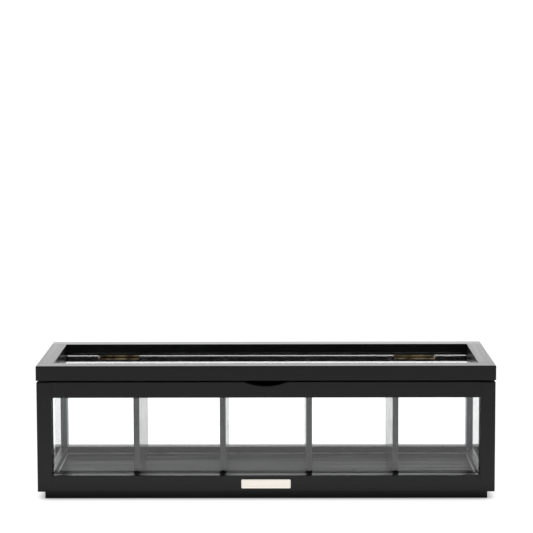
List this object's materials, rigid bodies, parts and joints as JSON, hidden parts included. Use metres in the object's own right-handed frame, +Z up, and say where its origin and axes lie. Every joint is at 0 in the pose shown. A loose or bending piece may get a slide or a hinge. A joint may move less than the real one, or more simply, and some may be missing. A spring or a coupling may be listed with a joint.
{
  "type": "tea bag organizer box",
  "caption": "Long low black wooden box with glass walls, a row of compartments for tea bags in envelopes, and a hinged glazed lid.",
  "frame": {"origin": "middle of the underside of the plinth, on the surface that the box stands on", "axes": "+X along the front towards the right as seen from the front, +Y from the front to the rear where the hinges are, +Z up"},
  "size_m": [0.4008, 0.1208, 0.1188],
  "materials": {
    "black_paint_on_wood": "satin black paint over smooth wood, arrises eased",
    "clear_glass": "clear float glass",
    "aged_brass": "aged brass, dull",
    "plate_metal": "pale warm metal, fine brushed, bare",
    "beech": "plain beech, unfinished",
    "black_rubber": "matt"
  },
  "bodies": {
    "case": {"base_board": "black_paint_on_wood", "front_left_post": "black_paint_on_wood", "front_right_post": "black_paint_on_wood", "rear_left_post": "black_paint_on_wood", "rear_right_post": "black_paint_on_wood", "front_bottom_rail": "black_paint_on_wood", "rear_bottom_rail": "black_paint_on_wood", "left_bottom_rail": "black_paint_on_wood", "right_bottom_rail": "black_paint_on_wood", "front_top_rail": "black_paint_on_wood", "rear_top_rail": "black_paint_on_wood", "left_top_rail": "black_paint_on_wood", "right_top_rail": "black_paint_on_wood", "case_dowels": "beech", "front_glass": "clear_glass", "rear_glass": "clear_glass", "left_glass": "clear_glass", "right_glass": "clear_glass", "divider_1": "black_paint_on_wood", "divider_2": "black_paint_on_wood", "divider_3": "black_paint_on_wood", "divider_4": "black_paint_on_wood", "nameplate": "plate_metal", "lid_pads": "black_rubber", "left_hinge_case_leaf": "aged_brass", "left_hinge_pin": "aged_brass", "right_hinge_case_leaf": "aged_brass", "right_hinge_pin": "aged_brass", "hinge_case_screws": "aged_brass"},
    "lid": {"lid_front_rail": "black_paint_on_wood", "lid_rear_rail": "black_paint_on_wood", "lid_left_rail": "black_paint_on_wood", "lid_right_rail": "black_paint_on_wood", "lid_dowels": "beech", "lid_glass": "clear_glass", "left_hinge_lid_leaf": "aged_brass", "right_hinge_lid_leaf": "aged_brass", "hinge_lid_screws": "aged_brass"}
  },
  "joints": [
    {"name": "lid_hinge", "type": "hinge", "parent": "case", "child": "lid", "pos_m": [0, 0.0585, 0.1039], "axis": [-1, 0, 0], "range_deg": [0, 105]}
  ]
}
